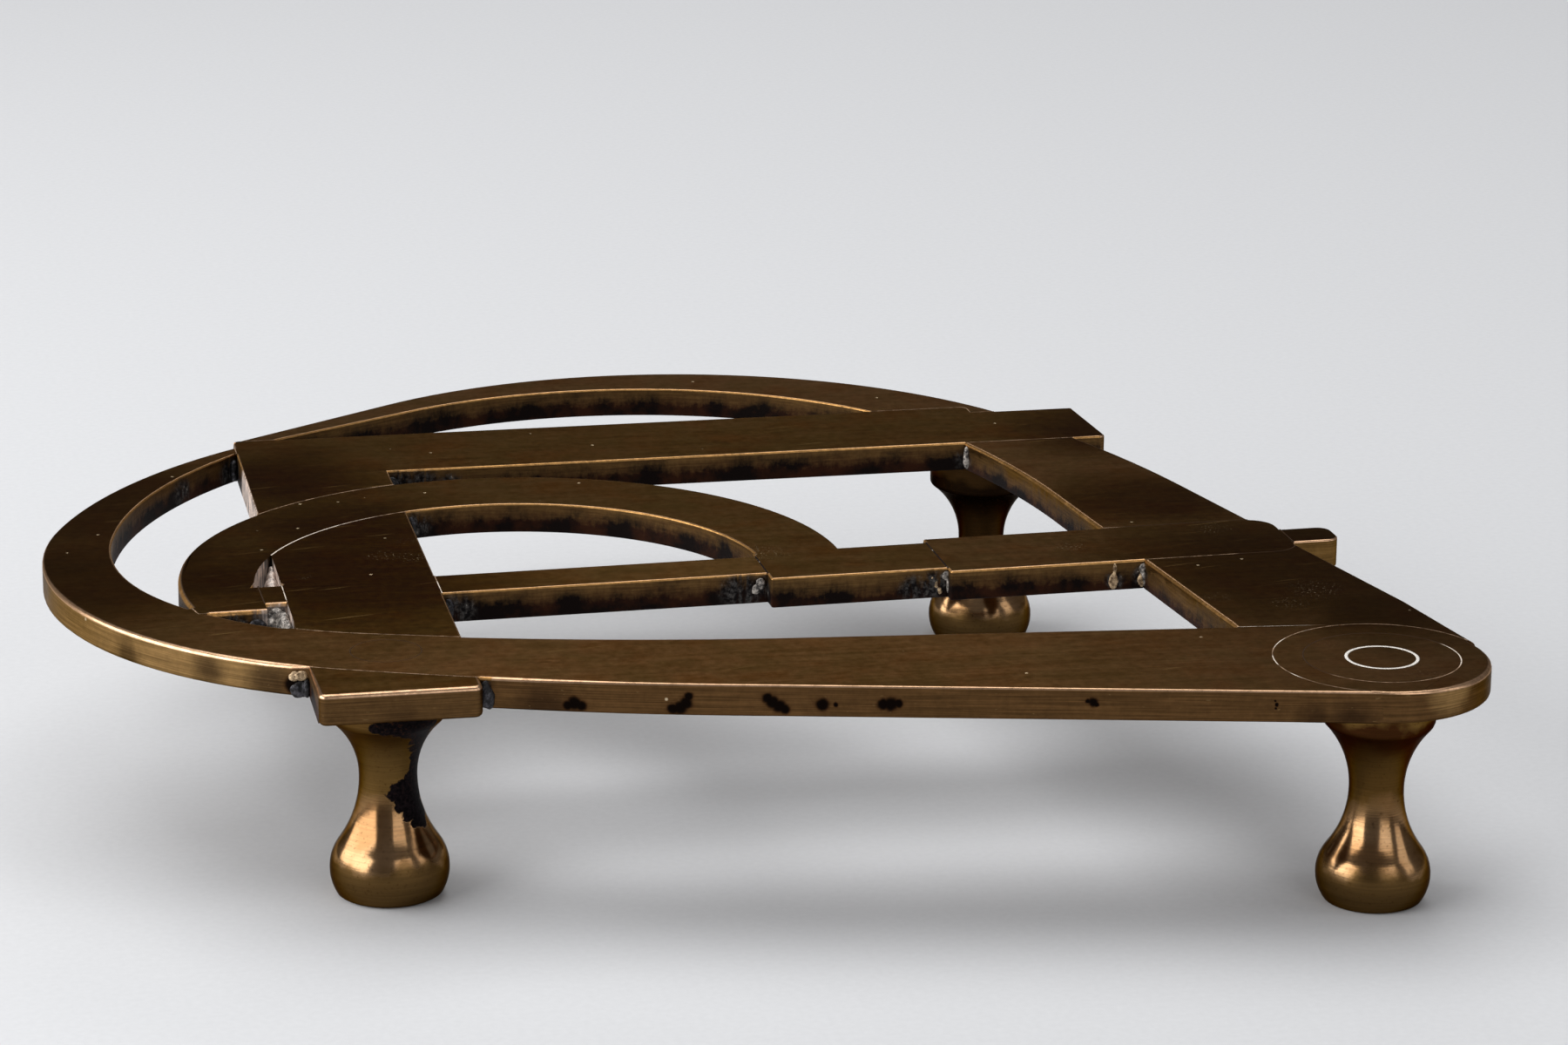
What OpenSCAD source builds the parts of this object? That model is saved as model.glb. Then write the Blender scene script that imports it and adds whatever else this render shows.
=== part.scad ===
// Trivet assembled from flat brass hand tools: outside calipers, a flat
// square and a bow saw, lapped flush into one another on turned feet.
// Lengths are millimetres and angles are degrees, counted from +X to +Y.
// Plan places are given from the centre of the calipers' joint, with the
// square's long arm along X. The finished part stands on z = 0.

/* [Plates] */
// Thickness of the flat pieces
plate_t = 5; // [3:0.25:8]
// Clearance at the cheeks of the lap joints
lap_gap = 0.05; // [0.02:0.01:0.15]

/* [Square] */
// Outer corner, to the left of the calipers' joint
square_left = 159.9; // [155:0.1:165]
// Outer corner, behind the calipers' joint
square_back = 151; // [147:0.1:155]
// Outside length of the long arm, at its front edge
long_arm = 151.2; // [140:0.1:158]
// Width of the long arm
long_arm_w = 23; // [18:0.1:28]
// Step of the long arm's back edge to the front, at the back foot
long_arm_step = 3.8; // [0:0.1:6]
// Slant of the long arm's end, to the left at the back
long_arm_slant = 1.3; // [0:0.1:3]
// Outside length of the short arm
short_arm = 140.2; // [134:0.1:150]
// Width of the short arm
short_arm_w = 24.4; // [20:0.1:28]
// Radius of the arms' corners
arm_corner_r = 1.3; // [0.5:0.1:3]

/* [Calipers, both legs] */
// Radius of the round ends at the joint
joint_r = 16.5; // [14:0.1:20]
// Distance from the joint to the legs' shoulders
shoulder_run = 22; // [18:0.5:26]
// Width of the legs at the shoulders
shoulder_w = 30.6; // [24:0.1:34]
// Greatest length of the steps that follow a leg's curves
curve_step = 3; // [1:0.5:6]

/* [Calipers, front leg] */
// Direction in which the leg leaves the joint
front_dir = 170.75; // [168:0.25:173]
// Length of the straight stretch after the shoulder
front_straight = 70; // [60:0.5:80]
// Width at the end of the straight stretch
front_straight_w = 22.6; // [18:0.1:28]
// Length of the slack curve before the bow
front_fair = 65; // [55:0.5:75]
// Turn of the slack curve
front_fair_turn = 11; // [6:0.5:16]
// Width at the start of the bow
front_bow_w = 17.3; // [12:0.1:22]
// Length of the bow
front_bow = 83.5; // [78:0.5:90]
// Turn of the bow
front_bow_turn = 84.2; // [80:0.2:90]
// Width at the start of the tip
front_tip_w = 10; // [6:0.1:14]
// Length of the tip
front_tip = 57; // [50:0.5:60]
// Turn of the tip
front_tip_turn = 35.7; // [30:0.5:40]
// Width at the point
front_point_w = 2.6; // [1.5:0.1:6]

/* [Calipers, back leg] */
// Direction in which the leg leaves the joint
back_dir = 100.25; // [98:0.25:103]
// Sideways step of the leg's middle line from the joint
back_shift = 1.6; // [0:0.1:2.5]
// Length of the straight stretch after the shoulder
back_straight = 73.8; // [64:0.5:84]
// Width at the end of the straight stretch
back_straight_w = 22.6; // [18:0.1:28]
// Length of the slack curve before the bow
back_fair = 45; // [38:0.5:52]
// Turn of the slack curve
back_fair_turn = 13.2; // [8:0.2:18]
// Width at the start of the bow
back_bow_w = 17.1; // [12:0.1:22]
// Length of the bow
back_bow = 119; // [112:0.5:125]
// Turn of the bow
back_bow_turn = 98.8; // [94:0.2:104]
// Width at the start of the tip
back_tip_w = 6.2; // [4:0.1:10]
// Length of the tip
back_tip = 36; // [32:0.5:38]
// Width at the point
back_point_w = 3; // [1.5:0.1:6]

/* [Calipers, joint] */
// Thickness of the plates let into the top of the joint
joint_plate_t = 1.2; // [0.8:0.1:2]
// Radius of the washer round the rivet
washer_r = 11.9; // [9:0.1:14]

/* [Saw] */
// Seam between tang and handle, to the left of the calipers' joint
saw_left = 52.8; // [48:0.1:58]
// Middle line of the saw at the joint, behind the joint
saw_back = 64.8; // [62:0.1:68]
// Slope of the saw against the square's long arm
saw_tilt = 1.36; // [0:0.02:2.5]
// Length of the handle
handle_len = 59; // [56:0.5:66]
// Width of the handle
handle_w = 18.2; // [16:0.1:22]
// Radius of the handle's far corners
handle_corner_r = 4.4; // [1:0.1:6]
// Length of the butt behind the handle
butt_len = 8.1; // [4:0.1:12]
// Width of the butt
butt_w = 7.2; // [4:0.1:10]
// Step of the butt's middle line to the front
butt_step = 1; // [0:0.1:3]
// Radius of the butt's corners
butt_corner_r = 2.2; // [0.5:0.1:3]
// Length of the tang, from the blade to the handle
tang_len = 28.9; // [24:0.1:34]
// Width of the tang
tang_w = 14.2; // [12:0.1:16]
// Length of the blade
blade_len = 80.3; // [76:0.1:84]
// Width of the blade
blade_w = 9.4; // [7:0.1:11]
// Step of the blade's middle line to the back
blade_step = 0.6; // [0:0.1:1.5]
// Outer radius of the saw's bow
bow_r = 53.4; // [50:0.1:55]
// Centre of the outer radius, behind the saw's middle line
bow_rise = 5.8; // [4:0.1:7]
// Centre of the outer radius, from the middle of the blade to the right
bow_shift = 1; // [0:0.1:2]
// Width of the saw's bow, its outer radius less its inner radius
bow_w = 12.6; // [11:0.1:14]
// Centre of the inner radius, behind the saw's middle line
bow_inner_rise = 2.4; // [1:0.1:4]

/* [Feet] */
// Height of the feet under the plates
foot_h = 33.8; // [28:0.2:45]
// Greatest radius of the front, joint, back and corner foot
bulb_r = [9.2, 8.8, 9.1, 9]; // [8:0.1:11]
// Radius of the arc that rounds the front, joint, back and corner foot
bulb_arc_r = [7.6, 6.9, 7.2, 7.2]; // [6:0.1:8]
// Height of the greatest radius
bulb_h = 4.2; // [3:0.1:5]
// Radius of the neck of the front, joint, back and corner foot
neck_r = [4.45, 4.2, 4, 4.2]; // [3:0.05:5.5]
// Height of the neck of the front, joint, back and corner foot
neck_h = [19.1, 18, 18.6, 18.5]; // [16:0.1:21]
// Radius of the collar of the front, joint, back and corner foot
collar_r = [9.1, 8.6, 9.2, 9]; // [7.5:0.1:11]
// Height of the collar
collar_h = 5.1; // [3:0.1:7]
// Radius of the tenons
tenon_r = 5.4; // [4:0.1:7]
// Clearance round the tenons
tenon_gap = 0.05; // [0.02:0.01:0.15]
// Plate left over the tenons that don't show on top
tenon_cover = 1.2; // [0.8:0.1:2]
// Front foot, behind the calipers' joint
front_foot_back = 30.2; // [26:0.1:34]
// Back foot, to the left of the calipers' joint
back_foot_left = 28.6; // [24:0.1:33]

/* [Hidden] */
$fn = 96;

// Heights of the plates
z_low = foot_h;
z_mid = foot_h + plate_t / 2;
z_top = foot_h + plate_t;
// Extra depth of the cuts past a face
overrun = plate_t / 5;
// Angle between the corners that round the legs' ends
end_angle = 5;

// Width of the long arm's end, and the middle lines of the square's arms
long_end_w = long_arm_w - long_arm_step;
long_arm_mid = square_back - long_arm_w / 2;
long_end_mid = long_arm_mid - long_arm_step / 2;
short_arm_mid = square_left - short_arm_w / 2;

// Inner radius of the saw's bow
bow_inner_r = bow_r - bow_w;

// Places of the feet: front, joint, back and corner
FOOT_PLACES = [
    [-short_arm_mid, front_foot_back],
    [0, 0],
    [-back_foot_left, long_end_mid],
    [-short_arm_mid, long_arm_mid]
];

function turned(p, a) = [p[0] * cos(a) - p[1] * sin(a), p[0] * sin(a) + p[1] * cos(a)];

// Point at a share of a run that starts along X and turns evenly to the left
function run_point(run, turn, share) =
    turn == 0 ? [run * share, 0] :
    let (r = run / turn * 180 / PI) [r * sin(turn * share), r * (1 - cos(turn * share))];

function tail(list) = [for (k = [1 : 1 : len(list) - 1]) list[k]];

// Stations [place, direction, width] along runs of [length, turn, end width]
function stations(place, dir, width, runs) =
    len(runs) == 0 ? [[place, dir, width]] :
    let (
        run = runs[0][0],
        turn = runs[0][1],
        end_w = runs[0][2],
        steps = turn == 0 ? 1 : ceil(run / curve_step)
    )
    concat(
        [for (k = [0 : steps - 1]) let (share = k / steps) [
            place + turned(run_point(run, turn, share), dir),
            dir + turn * share,
            width + (end_w - width) * share
        ]],
        stations(place + turned(run_point(run, turn, 1), dir), dir + turn, end_w, tail(runs))
    );

// Outline round a row of stations, wider by a margin on both sides
function band(row, margin) = concat(
    [for (s = row) s[0] + turned([0, s[2] / 2 + margin], s[1])],
    [for (k = [len(row) - 1 : -1 : 0]) row[k][0] - turned([0, row[k][2] / 2 + margin], row[k][1])]
);

// Stations of each leg, from its shoulder to its point
front_row = stations(turned([shoulder_run, 0], front_dir), front_dir, shoulder_w, [
    [front_straight, 0, front_straight_w],
    [front_fair, -front_fair_turn, front_bow_w],
    [front_bow, -front_bow_turn, front_tip_w],
    [front_tip, -front_tip_turn, front_point_w]
]);
back_row = stations(turned([shoulder_run, -back_shift], back_dir), back_dir, shoulder_w, [
    [back_straight, 0, back_straight_w],
    [back_fair, back_fair_turn, back_bow_w],
    [back_bow, back_bow_turn, back_tip_w],
    [back_tip, 0, back_point_w]
]);

// Outline of a leg: its band, closed round the joint
function leg_points(dir, row, margin) = concat(
    band(row, margin),
    [for (a = [-90 : end_angle : 90]) turned((joint_r + margin) * [-cos(a), sin(a)], dir)]
);

// Middle of the plan, as seen from the calipers' joint
plan_left = min([for (p = band(front_row, 0)) p[0]]);
plan_back = max([for (p = band(back_row, 0)) p[1]]);
plan_mid = [(plan_left + joint_r) / 2, (plan_back - joint_r) / 2];

// Names of the pieces

// Puts the middle of the plan over the origin
module placed() {
    translate([-plan_mid[0], -plan_mid[1], 0]) children();
}

// Outline raised from one height to another
module slab(from, to) {
    translate([0, 0, from]) linear_extrude(to - from) children();
}

module whole_cut() {
    slab(z_low - overrun, z_top + overrun) children();
}

module upper_cut() {
    slab(z_mid, z_top + overrun) children();
}

module lower_cut() {
    slab(z_low - overrun, z_mid) children();
}

// Rectangle from its near left corner, with round corners
module rounded(size, r) {
    translate([r, 0]) square([size[0] - 2 * r, size[1]]);
    translate([0, r]) square([size[0], size[1] - 2 * r]);
    for (x = [r, size[0] - r], y = [r, size[1] - r]) translate([x, y]) circle(r);
}

// Outlines, each wider by a margin all round

module square_outline(margin = 0) {
    grown = [2 * margin, 2 * margin];
    corner_r = arm_corner_r + margin;
    translate([-square_left - margin, square_back - long_arm_w - margin]) {
        rounded([square_left - back_foot_left, long_arm_w] + grown, corner_r);
        difference() {
            rounded([long_arm, long_end_w] + grown, corner_r);
            translate([long_arm + 2 * margin, 0]) rotate(atan(long_arm_slant / long_end_w))
                square([2 * long_arm_w, 2 * long_arm_w]);
        }
    }
    translate([-square_left - margin, square_back - short_arm - margin])
        rounded([short_arm_w, short_arm] + grown, corner_r);
}

// Quarter of the plan round the square's outer corner, where the tips end
module corner_zone() {
    translate([-square_left - short_arm_w, square_back - short_arm / 2])
        square([short_arm_w + long_arm / 2, short_arm / 2 + long_arm_w]);
}

// Stretches of the square's arms that the legs cross
module crossed_arms(margin = 0) {
    difference() {
        square_outline(margin);
        corner_zone();
    }
}

module front_leg_outline(margin = 0) {
    polygon(leg_points(front_dir, front_row, margin));
}

module back_leg_outline(margin = 0) {
    polygon(leg_points(back_dir, back_row, margin));
}

// Puts the saw's middle line and the seam at its tang in place
module saw_placed() {
    rotate(saw_tilt) translate([-saw_left, saw_back]) children();
}

module blade_outline(margin = 0) {
    saw_placed()
        translate([-tang_len - blade_len - margin, blade_step - blade_w / 2 - margin])
        square([blade_len + 2 * margin, blade_w + 2 * margin]);
}

module frame_outline(margin = 0) {
    blade_mid = -tang_len - blade_len / 2;
    blade_back = blade_step + blade_w / 2;
    saw_placed() {
        difference() {
            translate([blade_mid + bow_shift, bow_rise]) circle(bow_r + margin);
            translate([blade_mid - 2 * bow_r, -tang_w / 2 - margin - 2 * bow_r])
                square([4 * bow_r, 2 * bow_r]);
            intersection() {
                translate([blade_mid, bow_inner_rise]) circle(bow_inner_r - margin);
                translate([blade_mid - bow_r, blade_back + margin]) square([2 * bow_r, 2 * bow_r]);
            }
            translate([blade_mid - blade_len / 2 + margin, blade_back + 2 * margin - 2 * bow_r])
                square([blade_len - 2 * margin, 2 * bow_r]);
        }
        translate([-tang_len - margin, -tang_w / 2 - margin])
            square([tang_len, tang_w + 2 * margin]);
    }
}

module handle_outline(margin = 0) {
    corner_r = handle_corner_r + margin;
    saw_placed() {
        translate([-margin, -handle_w / 2 - margin])
            square([handle_len - handle_corner_r + margin, handle_w + 2 * margin]);
        translate([handle_len - 3 * corner_r, -handle_w / 2 - margin])
            rounded([3 * corner_r + margin, handle_w + 2 * margin], corner_r);
    }
}

module butt_outline(margin = 0) {
    corner_r = butt_corner_r + margin;
    saw_placed() {
        translate([handle_len + lap_gap, -butt_step - butt_w / 2 - margin])
            square([butt_len - lap_gap - butt_corner_r, butt_w + 2 * margin]);
        translate([handle_len + butt_len + margin - 3 * corner_r, -butt_step - butt_w / 2 - margin])
            rounded([3 * corner_r, butt_w + 2 * margin], corner_r);
    }
}

// Bore for the tenon of foot k
module tenon_bore(k, depth) {
    translate([FOOT_PLACES[k][0], FOOT_PLACES[k][1], z_low - overrun])
        cylinder(h = overrun + depth, r = tenon_r + tenon_gap);
}

// Flat pieces

module flat_square() {
    color("#8d6d3c") placed() difference() {
        slab(z_low, z_top) square_outline();
        upper_cut() intersection() {
            crossed_arms();
            front_leg_outline(lap_gap);
        }
        upper_cut() frame_outline(lap_gap);
        lower_cut() intersection() {
            crossed_arms();
            back_leg_outline(lap_gap);
        }
        lower_cut() blade_outline(lap_gap);
        tenon_bore(0, plate_t + overrun);
        tenon_bore(2, plate_t - tenon_cover);
        tenon_bore(3, plate_t - tenon_cover);
    }
}

module front_leg() {
    color("#927140") placed() difference() {
        slab(z_low, z_top) front_leg_outline();
        whole_cut() intersection() {
            square_outline(lap_gap);
            corner_zone();
        }
        whole_cut() frame_outline(lap_gap);
        lower_cut() crossed_arms(lap_gap);
        lower_cut() back_leg_outline(lap_gap);
        slab(z_top - joint_plate_t, z_top + overrun) circle(joint_r + lap_gap);
        tenon_bore(0, plate_t + overrun);
        tenon_bore(1, plate_t + overrun);
    }
}

module back_leg() {
    color("#8b6a3a") placed() difference() {
        slab(z_low, z_top) back_leg_outline();
        whole_cut() intersection() {
            square_outline(lap_gap);
            corner_zone();
        }
        upper_cut() crossed_arms(lap_gap);
        upper_cut() front_leg_outline(lap_gap);
        upper_cut() handle_outline(lap_gap);
        upper_cut() butt_outline(lap_gap);
        tenon_bore(1, plate_t + overrun);
        tenon_bore(2, plate_t - tenon_cover);
    }
}

module joint_ring() {
    color("#96753f") placed() slab(z_top - joint_plate_t, z_top) difference() {
        circle(joint_r);
        circle(washer_r + lap_gap);
    }
}

module joint_washer() {
    color("#a07f47") placed() slab(z_top - joint_plate_t, z_top) difference() {
        circle(washer_r);
        circle(tenon_r + tenon_gap);
    }
}

module saw_frame() {
    color("#8a6a3b") placed() difference() {
        slab(z_low, z_top) frame_outline();
        lower_cut() square_outline(lap_gap);
    }
}

module saw_blade() {
    color("#917244") placed() difference() {
        slab(z_low, z_top) blade_outline(-lap_gap);
        upper_cut() square_outline(lap_gap);
    }
}

module saw_handle() {
    color("#8e6e3d") placed() difference() {
        slab(z_low, z_top) handle_outline();
        lower_cut() back_leg_outline(lap_gap);
    }
}

module saw_butt() {
    color("#8a6a3a") placed() difference() {
        slab(z_low, z_top) butt_outline();
        lower_cut() back_leg_outline(lap_gap);
    }
}

// Turned feet

// Half profile of foot k: bulb, waist in two hollows, collar and tenon
module foot_profile(k, tenon_h) {
    bulb_in = bulb_r[k] - bulb_arc_r[k];
    rise = neck_h[k] - bulb_h;
    step_in = neck_r[k] - bulb_in;
    low_r = (pow(step_in, 2) + pow(rise, 2) - pow(bulb_arc_r[k], 2)) / (2 * (bulb_r[k] - neck_r[k]));
    join_share = bulb_arc_r[k] / (bulb_arc_r[k] + low_r);
    join_h = bulb_h + rise * join_share;
    join_x = bulb_in + (step_in + low_r) * join_share;
    collar_low = foot_h - collar_h;
    flare = collar_r[k] - neck_r[k];
    high_r = (pow(collar_low - neck_h[k], 2) + pow(flare, 2)) / (2 * flare);

    square([bulb_in, join_h]);
    intersection() {
        translate([bulb_in, bulb_h]) circle(bulb_arc_r[k]);
        square([bulb_r[k], join_h]);
    }
    difference() {
        translate([0, join_h]) square([join_x, neck_h[k] - join_h]);
        translate([neck_r[k] + low_r, neck_h[k]]) circle(low_r);
    }
    difference() {
        translate([0, neck_h[k]]) square([collar_r[k], collar_low - neck_h[k]]);
        translate([neck_r[k] + high_r, neck_h[k]]) circle(high_r);
    }
    translate([0, collar_low]) square([collar_r[k], collar_h]);
    translate([0, foot_h]) square([tenon_r, tenon_h]);
}

module foot(k, tenon_h) {
    color("#b58a45") placed() translate(FOOT_PLACES[k])
        rotate_extrude() foot_profile(k, tenon_h);
}

flat_square();  // square
front_leg();
back_leg();
joint_ring();
joint_washer();
saw_frame();
saw_blade();
saw_handle();
saw_butt();
foot(0, plate_t);  // front_foot
foot(1, plate_t);  // joint_foot
foot(2, plate_t - tenon_cover);  // back_foot
foot(3, plate_t - tenon_cover);  // corner_foot
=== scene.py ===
"""Looks of the aged brass trivet: its lapped plates, solder and turned feet on a pale studio floor."""

import math

import bmesh
import bpy
from mathutils import Matrix, Vector
from mathutils.bvhtree import BVHTree


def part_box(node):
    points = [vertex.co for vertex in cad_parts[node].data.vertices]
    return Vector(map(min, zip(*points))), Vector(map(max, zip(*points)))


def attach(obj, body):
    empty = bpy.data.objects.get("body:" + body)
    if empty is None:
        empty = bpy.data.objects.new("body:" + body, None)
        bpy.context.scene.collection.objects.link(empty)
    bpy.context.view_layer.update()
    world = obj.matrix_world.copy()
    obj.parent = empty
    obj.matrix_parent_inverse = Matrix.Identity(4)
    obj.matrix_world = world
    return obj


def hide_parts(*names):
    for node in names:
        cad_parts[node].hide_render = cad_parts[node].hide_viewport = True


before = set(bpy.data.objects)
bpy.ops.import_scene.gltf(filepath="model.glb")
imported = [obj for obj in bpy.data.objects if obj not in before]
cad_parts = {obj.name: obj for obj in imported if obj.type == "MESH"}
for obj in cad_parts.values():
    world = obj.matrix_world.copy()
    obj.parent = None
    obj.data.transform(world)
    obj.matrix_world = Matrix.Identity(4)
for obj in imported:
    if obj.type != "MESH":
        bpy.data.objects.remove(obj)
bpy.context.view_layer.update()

MM = 0.001

# Levels of the plates, and the middles of the joint and of the front foot, from the frame
LEVEL_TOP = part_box("joint_ring")[1].z
LEVEL_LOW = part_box("square")[0].z
JOINT = (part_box("joint_ring")[0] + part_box("joint_ring")[1]) / 2
FRONT_FOOT = (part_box("front_foot")[0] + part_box("front_foot")[1]) / 2

# Rounding of the edges that hands and cloths reach
EDGE_ROUND = 0.35 * MM
EDGE_STEPS = 3

# Facets that meet at less than this angle belong to one curve
SHARPEST_CURVE = math.radians(30)

# Edges that hands have worn rounder, in mm of the frame: x, y, reach, rounding
WORN_EDGES = [
    (-92, -38, 44, 0.8),
    (106, -88, 24, 0.8),
    (-58, -73, 30, 0.75),
    (58, 20, 36, 0.6),
    (72, -46, 26, 0.6),
]
MOST_ROUND = 0.8 * MM

# Edges filled flush with solder, which stay sharp: x, y, reach
SOLDERED_EDGES = [(-71, -9, 8), (-70, -32.5, 5.5)]

# How far from a face another piece is looked for: touching it, and across a gap
REACH = 0.3 * MM
GAP_REACH = 170 * MM

# Upward part of a normal: on a level face, on an upright one, and on the steepest part of a wall's rounding
LEVEL_LEAN = 0.995
UPRIGHT_LEAN = 0.005
ROUNDED_LEAN = 0.9

# Steps along an edge between looks for a covering piece, and how closely its end is then found
COVER_STEP = 0.5 * MM
COVER_END = COVER_STEP / 32

# Points of a CAD mesh that are one, and faces of it that are one
SAME_POINT = 0.001 * MM
SAME_FACE = math.radians(0.5)

# Height of a seam's ribbon as a share of its width
SEAM_FLATNESS = 0.02

# Solder: cells of its skin, and width and height of its blisters
SOLDER_CELL = 0.13 * MM
BLISTER_WIDTH = 1.1 * MM
BLISTER_HEIGHT = 0.4 * MM


# Tools

def srgb(code):
    """Linear colour of an sRGB hex code."""
    parts = [int(code[i:i + 2], 16) / 255 for i in (1, 3, 5)]
    return [p / 12.92 if p <= 0.04045 else ((p + 0.055) / 1.055) ** 2.4 for p in parts] + [1.0]


def per(size_mm):
    """Pattern scale that repeats at a real size in millimetres."""
    return 1 / (size_mm * MM)


def add(tree, kind, inputs, **settings):
    """Adds a shader node. An input is a value, a socket, or a node, which gives its first output in use.

    By number, a Mix has its share at 0, numbers at 2 and 3 and colours at 6 and 7, and a
    MapRange has its value at 0, that value's range at 1 and 2, and the new range at 3 and 4."""
    made = tree.nodes.new("ShaderNode" + kind)
    for name, value in settings.items():
        setattr(made, name, value)
    for key, value in inputs.items():
        if isinstance(value, bpy.types.Node):
            value = next(output for output in value.outputs if output.enabled)
        if isinstance(value, bpy.types.NodeSocket):
            tree.links.new(value, made.inputs[key])
        else:
            made.inputs[key].default_value = value
    return made


def new_material(name):
    """Material with nothing but its output, and the tree that holds it."""
    material = bpy.data.materials.new(name)
    material.use_nodes = True
    tree = material.node_tree
    tree.nodes.clear()
    return material, tree


def alone(piece):
    """Selects one piece and makes it active."""
    bpy.ops.object.select_all(action="DESELECT")
    piece.select_set(True)
    bpy.context.view_layer.objects.active = piece


def apply_modifier(piece, kind, **settings):
    """Adds a modifier with its settings and applies it."""
    alone(piece)
    modifier = piece.modifiers.new(kind.lower(), kind)
    for name, value in settings.items():
        setattr(modifier, name, value)
    bpy.ops.object.modifier_apply(modifier=modifier.name)


# Patterns that several finishes share

def near_spots(tree, place, spots, soften):
    """Mask that is 1 within each spot (x, y, z, radius in mm) and fades over a share of its radius."""
    mask = 0.0
    for x, y, z, radius in spots:
        away = add(tree, "VectorMath", {0: place, 1: [x * MM, y * MM, z * MM]}, operation="DISTANCE")
        spot = add(tree, "MapRange", {
            0: away, 1: radius * (1 + soften) * MM, 2: radius * (1 - soften) * MM,
        }, interpolation_type="SMOOTHSTEP")
        mask = add(tree, "Math", {0: mask, 1: spot}, operation="MAXIMUM")
    return mask


def ragged(tree, place, grain_mm, reach_mm):
    """Place shifted by noise, so that a mask round it gets a ragged edge."""
    noise = add(tree, "TexNoise", {"Vector": place, "Scale": per(grain_mm), "Detail": 4.0}).outputs["Color"]
    centred = add(tree, "VectorMath", {0: noise, 1: [0.5] * 3}, operation="SUBTRACT")
    shift = add(tree, "VectorMath", {0: centred, "Scale": 2 * reach_mm * MM}, operation="SCALE")
    return add(tree, "VectorMath", {0: place, 1: shift}, operation="ADD")


# Stains and marks, in mm of the frame: x, y, z, radius

# Dark oxide on the front leg's outer wall, where flux once ran
OXIDE_SPOTS = [
    (-32.9, -72.5, 34.9, 0.7), (-32.0, -72.8, 35.3, 1.0), (-31.0, -73.0, 34.9, 0.8),
    (-17.8, -76.7, 34.8, 0.8), (-16.7, -77.0, 35.0, 1.0), (-15.9, -77.2, 35.8, 0.95),
    (-15.5, -77.3, 36.8, 0.65),
    (-4.1, -79.9, 36.7, 0.8), (-3.3, -80.0, 36.1, 1.0), (-2.4, -80.2, 35.5, 1.0), (-1.5, -80.3, 35.0, 0.75),
    (3.9, -81.5, 35.8, 0.95), (5.9, -81.9, 35.8, 0.35),
    (12.7, -83.6, 36.0, 0.85), (13.8, -83.8, 36.0, 1.05), (14.9, -84.0, 36.1, 0.65),
    (42.3, -90.2, 36.8, 0.4), (43.1, -90.3, 36.7, 0.7), (43.6, -90.4, 36.3, 0.35),
    (69.4, -96.1, 37.2, 0.2), (69.6, -96.2, 36.6, 0.3), (69.5, -96.2, 36.0, 0.2),
    (-72.4, -57.9, 35.6, 1.3), (-71.4, -58.4, 36.2, 1.5),
]

# Soft brown smudges on the walls, where the file marks are still dark
SMUDGE_SPOTS = [
    (-84.3, -49.5, 36.0, 2.6), (-75.6, -55.6, 35.4, 3.6), (-95.6, -36.8, 34.8, 2.6),
    (-36.0, -71.6, 33.6, 4.0), (80.6, -98.8, 33.6, 3.0), (75.0, -97.6, 33.4, 2.6), (-58.0, -75.0, 33.4, 3.0),
]

# Paler walls: a painted highlight on the bow's outer wall, where the light from the left falls on it, and on
# the joint's rim both wear and a painted highlight just below its top edge
PAINTED_LIGHT_AND_WEAR_SPOTS = [
    (-101.0, -22.0, 36.0, 16.0), (-94.0, -38.0, 36.0, 16.0), (-84.0, -50.0, 36.4, 12.0),
    (96.0, -99.1, 38.4, 3.4),
]

# Browner patches on top: patina, and painted shade where the tops catch less of the lamps' sheen, mostly
# towards the left and right
PATINA_AND_SHADE_PATCHES = [
    (-58.0, -14.0, 38.8, 26.0), (-57.0, 12.0, 38.8, 18.0), (-98.0, -8.0, 38.8, 26.0),
    (-92.0, 30.0, 38.8, 26.0), (90.0, -36.0, 38.8, 28.0), (78.0, 4.0, 38.8, 16.0),
    (-66.0, 42.0, 38.8, 16.0), (86.0, 46.0, 38.8, 18.0), (-78.0, -14.0, 38.8, 12.0),
    (98.0, -62.0, 38.8, 14.0),
]

# Clusters of bright nicks on top
NICKED_SPOTS = [
    (-52.3, -4.7, 38.8, 2.4), (-48.2, -6.4, 38.8, 2.0), (-47.6, 2.6, 38.8, 1.4), (-66.0, -14.0, 38.8, 1.2),
    (84.9, -76.5, 38.8, 1.6), (84.1, -55.4, 38.8, 2.6), (90.4, -49.0, 38.8, 4.0), (74.0, -50.0, 38.8, 2.0),
    (84.0, -14.0, 38.8, 3.0), (8.0, -14.0, 38.8, 4.0), (58.0, -20.0, 38.8, 2.4), (94.0, -92.0, 38.8, 2.6),
]

# Black flux and grey tin left on the walls beside the soldered corners
SOLDER_SPOTS = [
    (-71.6, -58.2, 35.4, 1.8), (-44.6, -68.8, 36.2, 1.8), (-43.8, -69.1, 35.0, 1.8),
    (2.6, -25.1, 36.0, 3.0), (5.6, -25.1, 36.6, 1.8), (33.4, -27.3, 36.0, 2.4), (30.0, -27.1, 35.6, 2.0),
    (63.0, -28.7, 35.6, 1.3), (67.7, -28.6, 36.4, 1.5),
    (55.6, 43.6, 36.0, 1.6), (-74.6, -30.0, 36.2, 2.6), (-78.0, -30.0, 36.0, 2.4),
    (-71.4, 58.0, 36.0, 2.4), (-43.4, 44.2, 36.2, 2.6), (-39.5, 44.2, 36.0, 2.6), (-35.0, 44.2, 35.8, 2.0),
    (-44.2, 20.0, 35.8, 2.4), (-43.2, -26.2, 35.8, 2.6), (-80.5, 47.0, 36.0, 2.4),
]

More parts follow.
